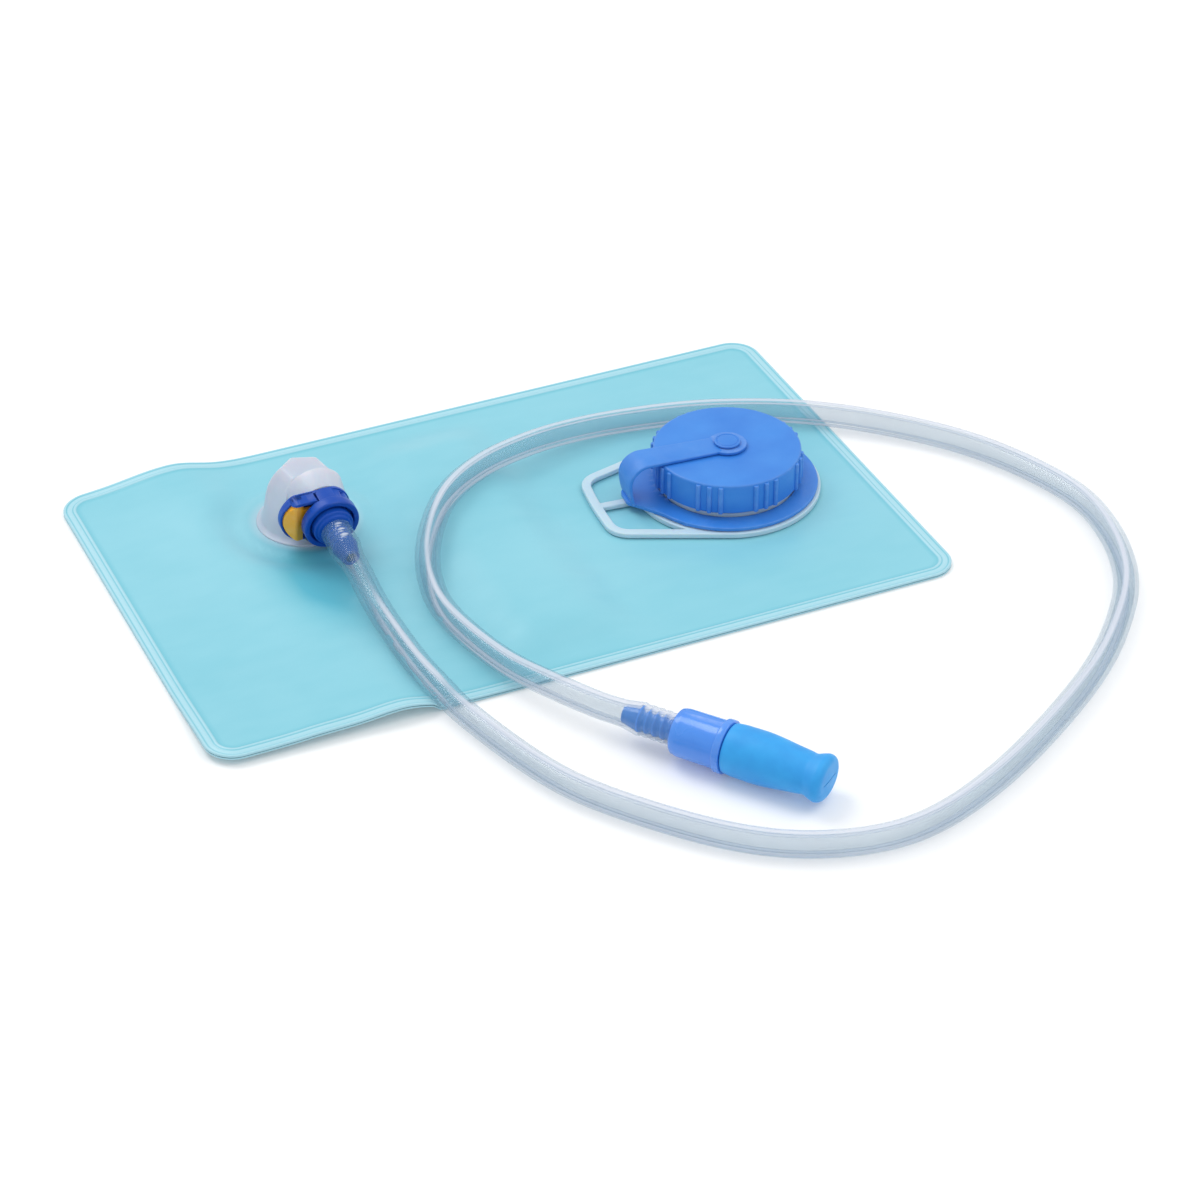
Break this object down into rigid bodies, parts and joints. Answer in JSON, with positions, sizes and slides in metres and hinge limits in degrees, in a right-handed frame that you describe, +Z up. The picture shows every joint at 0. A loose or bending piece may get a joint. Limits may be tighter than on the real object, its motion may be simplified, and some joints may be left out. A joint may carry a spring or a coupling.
{
  "type": "hydration bladder",
  "caption": "Welded film water bladder with a tethered screw-cap filler, a quick-release outlet coupling, and a drink tube that ends in a bite valve.",
  "frame": {"origin": "middle of the empty bag's footprint, on the surface it lies on", "axes": "+X along the bag from the outlet end to the filler end, +Y across the bag, +Z up, out of the face that carries the cap and the outlet"},
  "size_m": [0.3554, 0.316, 0.0288],
  "materials": {
    "film": "translucent teal TPU film, satin, welded border",
    "collar": "moulded white plastic, slightly milky",
    "cap": "moulded bright blue plastic, satin",
    "port": "moulded milky white plastic",
    "coupling": "moulded royal blue plastic, glossy",
    "button": "moulded amber plastic",
    "poppet": "moulded white plastic",
    "spring": "stainless wire",
    "seal": "matte black rubber",
    "holder": "moulded blue plastic, glossy",
    "silicone": "soft matte blue silicone",
    "tube": "clear flexible tubing, slightly milky"
  },
  "bodies": {
    "bladder": {"lower_film": "film", "upper_film": "film", "fill_collar": "collar", "tether_ring": "cap", "tether_strap": "cap", "outlet_port": "port", "coupling_body": "coupling", "port_seal": "seal", "button_spring": "spring", "poppet_spring": "spring", "drink_tube": "tube", "bite_valve_holder": "holder"},
    "tether_end": {"tether_eye": "cap"},
    "cap": {"screw_cap": "cap", "cap_pivot_pin": "cap", "cap_gasket": "seal"},
    "release_button": {"latch_button": "button"},
    "poppet": {"shutoff_poppet": "poppet", "poppet_seal": "seal"},
    "plug": {"hose_plug": "coupling", "plug_seal": "seal"},
    "mouthpiece": {"bite_valve": "silicone"}
  },
  "joints": [
    {"name": "cap_lift", "type": "slide", "parent": "bladder", "child": "tether_end", "axis": [0, 0, 1], "range_m": [0, 0.0079], "deforming": ["tether_strap"]},
    {"name": "cap_turn", "type": "hinge", "parent": "tether_end", "child": "cap", "pos_m": [0.09, -0.005, 0.0143], "axis": [0, 0, 1], "range_deg": [0, 630]},
    {"name": "button_press", "type": "slide", "parent": "bladder", "child": "release_button", "axis": [1, 0, 0], "range_m": [0, 0.0025], "stiffness_N_per_m": 300, "deforming": ["button_spring"]},
    {"name": "plug_release", "type": "slide", "parent": "bladder", "child": "plug", "axis": [0, -0.9877, -0.1564], "range_m": [0, 0.016], "deforming": ["drink_tube"]},
    {"name": "poppet_close", "type": "slide", "parent": "bladder", "child": "poppet", "axis": [0, -0.9877, -0.1564], "range_m": [0, 0.00141], "deforming": ["poppet_spring"]},
    {"name": "bite_valve_pull", "type": "slide", "parent": "bladder", "child": "mouthpiece", "axis": [0.6018, -0.7986, 0], "range_m": [0, 0.014]}
  ],
  "couplings": [
    {"joint": "cap_lift", "follows": "cap_turn", "m_per_rad": 0.0007162},
    {"joint": "poppet_close", "follows": "plug_release", "ratio": 0.0875}
  ]
}
